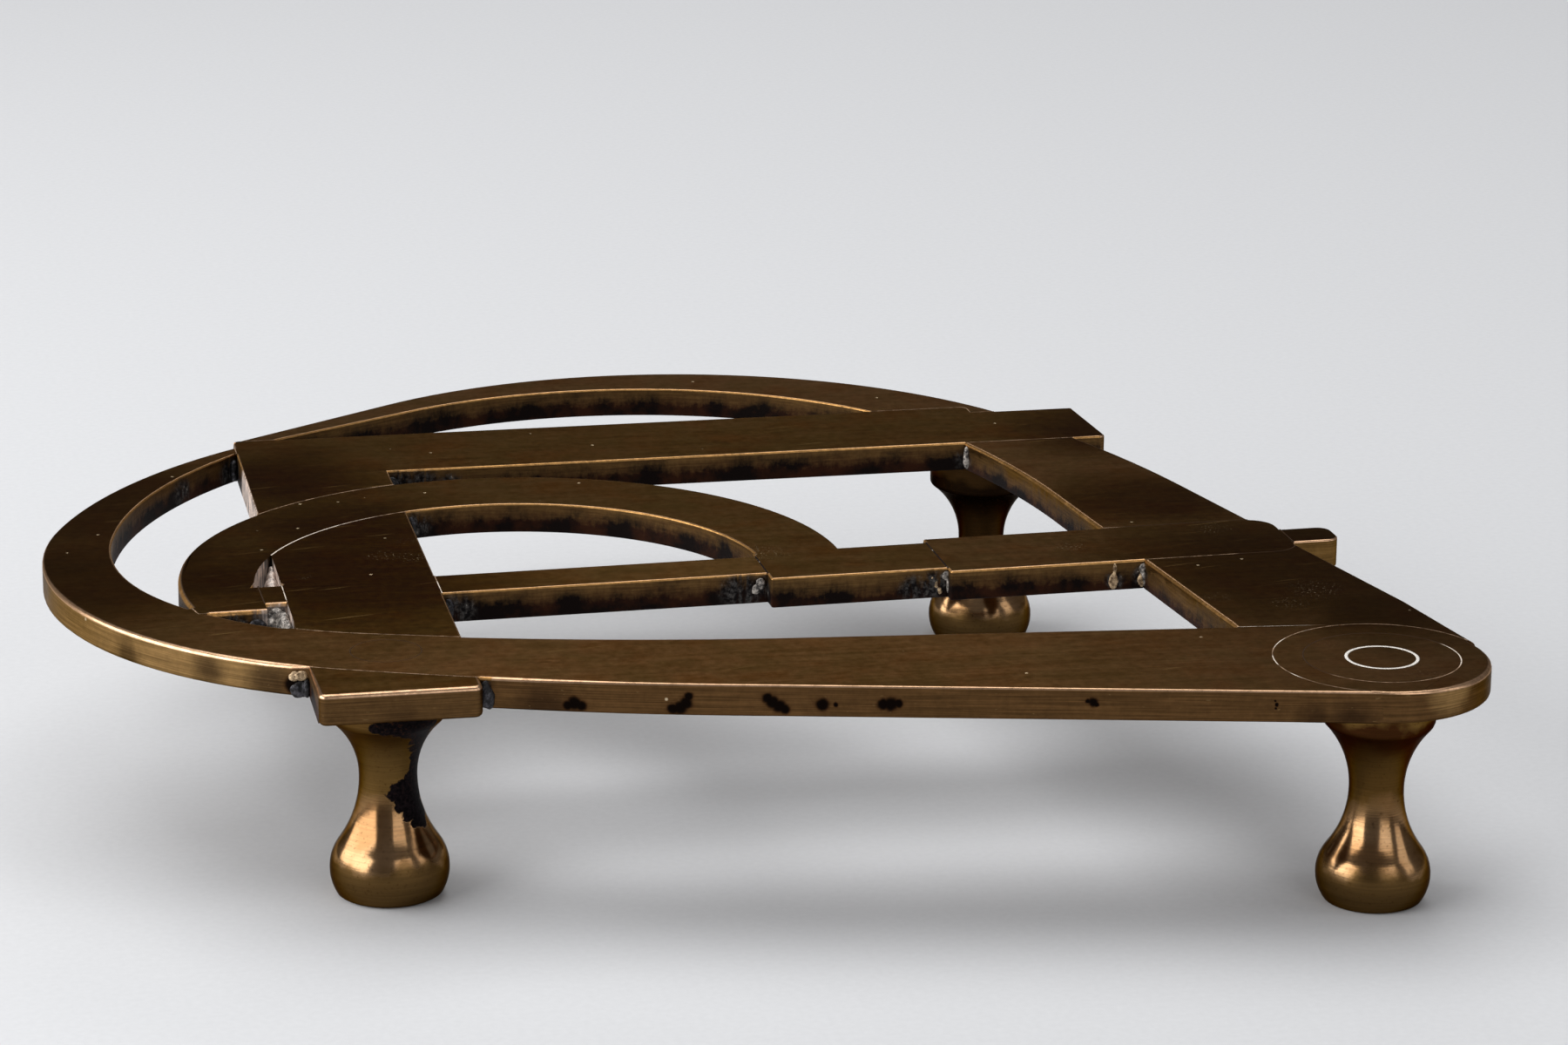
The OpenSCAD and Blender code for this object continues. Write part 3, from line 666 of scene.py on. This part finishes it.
def rounding_at(point):
    """Rounding of a bare edge, as a share of the most that any edge has."""
    rounding = EDGE_ROUND
    for x, y, reach, most in WORN_EDGES:
        nearness = 1 - (point.xy - Vector((x, y)) * MM).length / (reach * MM)
        worn = EDGE_ROUND + (most * MM - EDGE_ROUND) * min(1, 2 * nearness)
        rounding = max(rounding, worn)
    return rounding / MOST_ROUND


def soldered(point):
    """True at an edge that solder fills flush."""
    return any((point.xy - Vector((x, y)) * MM).length < reach * MM for x, y, reach in SOLDERED_EDGES)


def bare_edges(shape):
    """Outward corners with bare faces on both sides."""
    found = []
    for edge in corner_edges(shape):
        middle = middle_of(edge)
        if not soldered(middle) and open_edge(middle, [f.normal for f in edge.link_faces]):
            found.append(edge)
    return found


def seam_edges(shape):
    """Outward corners at the top level that another piece meets."""
    found = []
    for edge in corner_edges(shape):
        at_top = min(v.co.z for v in edge.verts) > LEVEL_TOP - REACH
        if at_top and not open_edge(middle_of(edge), [f.normal for f in edge.link_faces]):
            found.append(edge)
    return found


def seam_line(piece, name, half_width, finish):
    """Thin ribbon of solder along a piece's seams on top, filed flush."""
    if not select_edges(piece, seam_edges):
        return
    bpy.ops.mesh.duplicate()
    bpy.ops.mesh.separate(type="SELECTED")
    bpy.ops.object.mode_set(mode="OBJECT")
    line = next(o for o in bpy.context.selected_objects if o is not piece)
    line.name = name
    alone(line)
    bpy.ops.object.convert(target="CURVE")
    line.data.bevel_depth = half_width
    line.data.bevel_resolution = 1
    line.data.use_fill_caps = True
    bpy.ops.object.convert(target="MESH")
    bpy.ops.object.mode_set(mode="EDIT")
    bpy.ops.mesh.select_all(action="SELECT")
    bpy.ops.transform.resize(value=(1, 1, SEAM_FLATNESS), center_override=(0, 0, LEVEL_TOP))
    bpy.ops.mesh.normals_make_consistent(inside=False)
    bpy.ops.object.mode_set(mode="OBJECT")
    bpy.ops.object.shade_smooth()
    line.data.materials.clear()
    line.data.materials.append(finish)
    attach(line, "root")


def inner_wall(face):
    """True for a wall that looks across a gap at another piece, with its rounded edges."""
    if abs(face.normal.z) > ROUNDED_LEAN:
        return False
    outward = Vector((face.normal.x, face.normal.y, 0)).normalized()
    start = face.center + outward * REACH
    return any(solid.ray_cast(start, outward, GAP_REACH)[0] for solid in SOLIDS)


def no_face(face):
    """False for every face, where a piece has one finish all over."""
    return False


def tenon_top(face):
    """True for the end of a foot's tenon, filed flush with the plates."""
    return face.center.z > LEVEL_TOP - REACH


def round_bare_edges(piece):
    """Weights the bare edges of a piece in edit mode and bevels them in object mode."""
    shape = bmesh.from_edit_mesh(piece.data)
    weights = shape.edges.layers.float.new("bevel_weight_edge")
    for edge in bare_edges(shape):
        edge[weights] = rounding_at(middle_of(edge))
    bmesh.update_edit_mesh(piece.data)
    bpy.ops.object.mode_set(mode="OBJECT")
    apply_modifier(
        piece, "BEVEL", limit_method="WEIGHT", width=MOST_ROUND, segments=EDGE_STEPS, use_clamp_overlap=False,
    )


def plain(face):
    """True for a top, an underside or an upright wall, and false for the faces of a rounded edge."""
    return abs(face.normal.z) > LEVEL_LEAN or abs(face.normal.z) < UPRIGHT_LEAN


def smooth_plate(piece):
    """Smooth shading that keeps tops and walls true up to their rounded edges."""
    shape = bmesh.new()
    shape.from_mesh(piece.data)
    normals = []
    for face in shape.faces:
        closest = math.cos(SHARPEST_CURVE if plain(face) else 2 * SHARPEST_CURVE)
        for corner in face.loops:
            near = [f for f in corner.vert.link_faces if f.normal.dot(face.normal) > closest]
            true = [f for f in near if plain(f)]
            normals.append(sum((f.normal for f in true or near), Vector()).normalized())
    shape.free()
    alone(piece)
    bpy.ops.object.shade_smooth()
    piece.data.normals_split_custom_set(normals)


def smooth_foot(piece):
    """Smooth shading of a turned foot, with its hard corners kept."""
    alone(piece)
    bpy.ops.object.shade_smooth_by_angle(angle=SHARPEST_CURVE)
    apply_modifier(piece, "WEIGHTED_NORMAL", keep_sharp=True)


def dress(name, finishes, second_finish, smooth):
    """Copy of a CAD node with its bare edges rounded, its seams lined and its finishes on."""
    piece = copy_of(name)
    for point, direction in cover_changes(bmesh.from_edit_mesh(piece.data)):
        if not soldered(point):
            bpy.ops.mesh.select_all(action="SELECT")
            bpy.ops.mesh.bisect(plane_co=point, plane_no=direction)
    if name in SEAMS:
        seam_line(piece, name + "_seam", *SEAMS[name])
        alone(piece)
        bpy.ops.object.mode_set(mode="EDIT")
    round_bare_edges(piece)
    for finish in finishes:
        piece.data.materials.append(finish)
    for face in piece.data.polygons:
        face.material_index = int(second_finish(face))
    smooth(piece)
    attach(piece, "root")
    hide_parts(name)


# Tones of the plates: top deeper and warmer, wall deeper and warmer, and the patterns' seed
PLATES = {
    "square": ("#3f2f1e", "#513c27", "#43301d", "#62482a", 0.0),
    "front_leg": ("#4e3925", "#604730", "#47331d", "#63472a", 0.31),
    "back_leg": ("#493625", "#5b442f", "#47331d", "#63472a", 0.57),
    "saw_frame": ("#413120", "#513d29", "#4a3521", "#6b5030", 0.83),
    "saw_blade": ("#4c3924", "#5f472e", "#4a3521", "#6b5030", 1.13),
    "saw_handle": ("#443323", "#55402c", "#4a3521", "#6b5030", 1.37),
    "saw_butt": ("#3a2b1b", "#4b3824", "#57401f", "#7a5c33", 1.61),
    "joint_ring": ("#4e3925", "#604730", "#47331d", "#63472a", 1.87),
    "joint_washer": ("#503b27", "#624932", "#47331d", "#63472a", 2.11),
}

seam_light = seam_solder("seam_solder_light", "#5f4b38", "#a68a72")
seam_faint = seam_solder("seam_solder_faint", "#36271a", "#46341f")
seam_dark = seam_solder("seam_solder_dark", "#120d09", "#3d2d1c")
seam_white = soft_solder("seam_solder_white", "#c6bdb3", "#efe9e0", 0.3)

# Seam lines on top: half width and finish, by the piece whose outline they follow
SEAMS = {
    "square": (0.08 * MM, seam_light),
    "front_leg": (0.07 * MM, seam_light),
    "saw_frame": (0.12 * MM, seam_light),
    "saw_handle": (0.1 * MM, seam_light),
    "saw_butt": (0.06 * MM, seam_dark),
    "joint_ring": (0.08 * MM, seam_light),
    "joint_washer": (0.07 * MM, seam_light),
    "front_foot": (0.05 * MM, seam_faint),
    "joint_foot": (0.28 * MM, seam_white),
}

brass = {name: plate_brass(name + "_linished_brass", *tones) for name, tones in PLATES.items()}
for node_name, (*_, seed) in PLATES.items():
    if node_name in ("saw_butt", "joint_ring", "joint_washer"):
        dress(node_name, [brass[node_name]], no_face, smooth_plate)
    else:
        # Inner walls: oxide with painted shade towards the underside
        oxide_and_shade = oxide_and_shade_brass(node_name + "_oxide_and_shade_brass", seed)
        dress(node_name, [brass[node_name], oxide_and_shade], inner_wall, smooth_plate)

# Tones of the feet: neck, throat and collar. The back ones are the darkest: tarnish where no cloth reaches,
# and painted shade of the plates over them
tarry_foot = turned_brass("turned_brass_with_tar", "#614926", "#584020", "#3b2914", TAR_SPOTS)
clean_foot = turned_brass("turned_brass", "#573f1e", "#3d2310", "#6f542b")
dark_foot = turned_brass("turned_brass_oxide_and_shade", "#33220f", "#1f140a", "#3a2814")
dress("front_foot", [tarry_foot, brass["front_leg"]], tenon_top, smooth_foot)
dress("joint_foot", [clean_foot, brass["joint_washer"]], tenon_top, smooth_foot)
dress("back_foot", [dark_foot, brass["square"]], tenon_top, smooth_foot)
dress("corner_foot", [dark_foot, brass["square"]], tenon_top, smooth_foot)


# Solder in the inner corners

TIN = soft_solder("tin_lead_solder", "#3f3c3a", "#c2b9af", 0.52)
WIPED_TIN = soft_solder("wiped_tin", "#8b8684", "#dccbbe", 0.46)
FLUXED_TIN = soft_solder("tin_lead_solder_under_flux", "#121011", "#56545a", 0.58)
SPELTER = soft_solder("brazing_spelter", "#5f4932", "#d2b690", 0.5)

# Runs of solder: name, finish, and balls (x, y, z, half sizes in mm) that melt into one
SOLDER_RUNS = [
    ("solder_upper_notch", WIPED_TIN, [
        (-71.3, -14.8, 36.0, 1.9, 2.3, 1.7), (-70.9, -11.0, 36.1, 1.2, 2.8, 1.6),
        (-70.5, -7.2, 36.3, 0.8, 2.8, 1.5), (-70.3, -4.4, 36.4, 0.5, 1.8, 1.4),
    ]),
    ("solder_lower_notch", TIN, [
        (-71.9, -27.6, 36.3, 1.5, 1.1, 1.9), (-70.8, -30.0, 36.1, 1.1, 2.6, 2.0),
        (-70.5, -33.2, 35.9, 0.8, 2.6, 1.9), (-72.8, -29.0, 35.6, 1.1, 1.2, 1.5),
    ]),
    ("solder_heel", FLUXED_TIN, [
        (-75.0, -30.3, 35.9, 1.5, 0.5, 1.6), (-77.2, -30.2, 35.6, 1.4, 0.4, 1.2),
    ]),
    ("spelter_front_left", SPELTER, [
        (-71.9, -58.1, 37.1, 1.1, 0.5, 0.85), (-71.0, -58.6, 37.3, 1.2, 0.5, 0.8),
    ]),
    ("solder_front_left", FLUXED_TIN, [
        (-71.2, -58.6, 35.1, 1.7, 0.5, 1.3), (-70.4, -59.2, 35.4, 0.6, 0.6, 1.5),
    ]),
    ("solder_front_right", FLUXED_TIN, [
        (-44.8, -69.0, 36.2, 1.0, 0.7, 2.2), (-44.2, -69.1, 35.4, 0.8, 0.5, 1.6),
    ]),
    ("solder_blade_tang", TIN, [
        (5.6, -25.2, 37.1, 0.8, 0.25, 1.0), (4.9, -25.15, 36.2, 0.7, 0.2, 0.9),
    ]),
    ("solder_tang_handle", TIN, [
        (35.5, -27.5, 37.5, 0.7, 0.4, 0.8), (35.9, -27.5, 36.2, 0.4, 0.4, 1.6),
    ]),
    ("spelter_tang", SPELTER, [
        (33.3, -27.2, 37.0, 0.45, 0.25, 0.8), (33.9, -27.2, 35.9, 0.45, 0.25, 0.8),
        (34.5, -27.3, 35.0, 0.4, 0.25, 0.6),
    ]),
    ("spelter_drip_handle", SPELTER, [
        (63.1, -28.7, 37.4, 0.35, 0.25, 1.1), (62.9, -28.7, 35.4, 0.8, 0.35, 1.3),
    ]),
    ("solder_handle_back_leg", TIN, [
        (67.8, -28.7, 37.3, 0.7, 0.4, 0.9), (68.0, -28.8, 35.9, 0.6, 0.4, 1.6),
    ]),
    ("spelter_handle_back_leg", SPELTER, [(67.7, -28.75, 35.4, 0.8, 0.4, 1.2)]),
    ("solder_arm_back_leg", TIN, [
        (55.9, 43.4, 37.2, 0.5, 0.5, 1.1), (56.0, 43.3, 35.6, 0.8, 0.5, 1.4),
    ]),
    ("solder_blade_short_arm", FLUXED_TIN, [(-44.6, -26.3, 36.0, 0.9, 0.4, 1.8)]),
    ("solder_bow_short_arm", FLUXED_TIN, [(-44.8, 19.8, 36.0, 1.0, 0.5, 1.8)]),
    ("solder_arms", FLUXED_TIN, [(-45.0, 44.0, 36.0, 1.3, 0.5, 1.8)]),
    ("solder_tip", FLUXED_TIN, [(-70.6, 58.6, 36.0, 0.8, 0.9, 1.9)]),
]


def solder_run(name, finish, balls):
    """Solder that has run into a corner: balls that melt into one uneven, half-sunk mass."""
    melted = []
    for x, y, z, half_x, half_y, half_z in balls:
        bpy.ops.object.select_all(action="DESELECT")
        bpy.ops.mesh.primitive_ico_sphere_add(subdivisions=4, radius=1)
        bpy.ops.object.mode_set(mode="EDIT")
        bpy.ops.mesh.select_all(action="SELECT")
        bpy.ops.transform.resize(value=(half_x * MM, half_y * MM, half_z * MM))
        bpy.ops.transform.translate(value=(x * MM, y * MM, z * MM))
        bpy.ops.object.mode_set(mode="OBJECT")
        melted.append(bpy.context.object)
    run = melted[-1]
    for ball in melted:
        ball.select_set(True)
    bpy.ops.object.join()
    run.name = name
    apply_modifier(run, "REMESH", mode="VOXEL", voxel_size=SOLDER_CELL)
    blisters = bpy.data.textures.new(name, "CLOUDS")
    blisters.noise_scale = BLISTER_WIDTH
    apply_modifier(run, "DISPLACE", texture=blisters, strength=BLISTER_HEIGHT, texture_coords="LOCAL")
    bpy.ops.object.shade_smooth()
    run.data.materials.clear()
    run.data.materials.append(finish)
    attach(run, "root")


for run in SOLDER_RUNS:
    solder_run(*run)


# Studio: pale floor, soft lamps, and the camera at the photograph's angle

# Side of the floor in m, so wide that its edges stay out of sight
FLOOR_SIZE = 8


def floor_paper():
    """Matt seamless paper, pale grey, with the faint tooth of its fibres."""
    material, tree = new_material("seamless_paper")
    place = add(tree, "TexCoord", {}).outputs["Object"]
    fibres = add(tree, "TexNoise", {"Vector": place, "Scale": per(1.2), "Detail": 4.0})
    tone = add(tree, "MapRange", {0: fibres, 3: 0.94, 4: 1.04})
    base = add(tree, "VectorMath", {0: srgb("#d6d7d9")[:3], "Scale": tone}, operation="SCALE")
    shader = add(tree, "BsdfPrincipled", {"Base Color": base, "Roughness": 0.85})
    add(tree, "OutputMaterial", {"Surface": shader})
    return material


bpy.ops.object.select_all(action="DESELECT")
bpy.ops.mesh.primitive_plane_add(size=FLOOR_SIZE)
floor = bpy.context.object
floor.name = "floor"
floor.data.materials.append(floor_paper())


def softbox(name, heading, rise, distance, size, power):
    """Area lamp aimed at the trivet, from a heading and a rise in degrees: its sides in m, its power in W."""
    lamp = bpy.data.lights.new(name, "AREA")
    lamp.shape = "RECTANGLE"
    lamp.size, lamp.size_y = size
    lamp.energy = power
    carrier = bpy.data.objects.new(name, lamp)
    bpy.context.scene.collection.objects.link(carrier)
    turn = Matrix.Rotation(math.radians(-heading), 4, "Z") @ Matrix.Rotation(math.radians(90 - rise), 4, "X")
    carrier.matrix_world = turn @ Matrix.Translation((0, 0, distance))
    carrier.visible_camera = False


# Heading 0 is the side of -Y, where the camera stands, and grows towards -X
softbox("top_softbox", 165, 80, 1.6, (1.8, 1.4), 19)
softbox("back_panel", 190, 33, 1.6, (0.5, 0.4), 2.2)
softbox("left_softbox", 85, 23, 0.95, (1.3, 0.6), 10)
softbox("right_panel", -20, 22, 1.25, (0.7, 0.7), 2.3)
softbox("right_strip", -64, 24, 1.25, (0.4, 0.8), 1.2)

world = bpy.data.worlds.new("studio")
bpy.context.scene.world = world
world.use_nodes = True
world.node_tree.nodes["Background"].inputs["Color"].default_value = srgb("#6f6f71")

# Camera, fitted to the photograph: place in mm of the frame, angles in degrees, lens and film in mm
CAMERA_PLACE = Vector((-137.33, -744.75, 267.04)) * MM
CAMERA_HEADING = 11.525
CAMERA_PITCH = 16.671
CAMERA_ROLL = 0.366
CAMERA_LENS = 110.67
CAMERA_FILM = 36
CAMERA_NEAREST = 10 * MM

camera = bpy.data.objects.new("camera", bpy.data.cameras.new("camera"))
bpy.context.scene.collection.objects.link(camera)
camera.data.lens = CAMERA_LENS
camera.data.sensor_width = CAMERA_FILM
camera.data.clip_start = CAMERA_NEAREST
camera.matrix_world = (
    Matrix.Translation(CAMERA_PLACE)
    @ Matrix.Rotation(math.radians(-CAMERA_HEADING), 4, "Z")
    @ Matrix.Rotation(math.radians(90 - CAMERA_PITCH), 4, "X")
    @ Matrix.Rotation(math.radians(CAMERA_ROLL), 4, "Z")
)
bpy.context.scene.camera = camera
bpy.context.scene.view_settings.view_transform = "Standard"
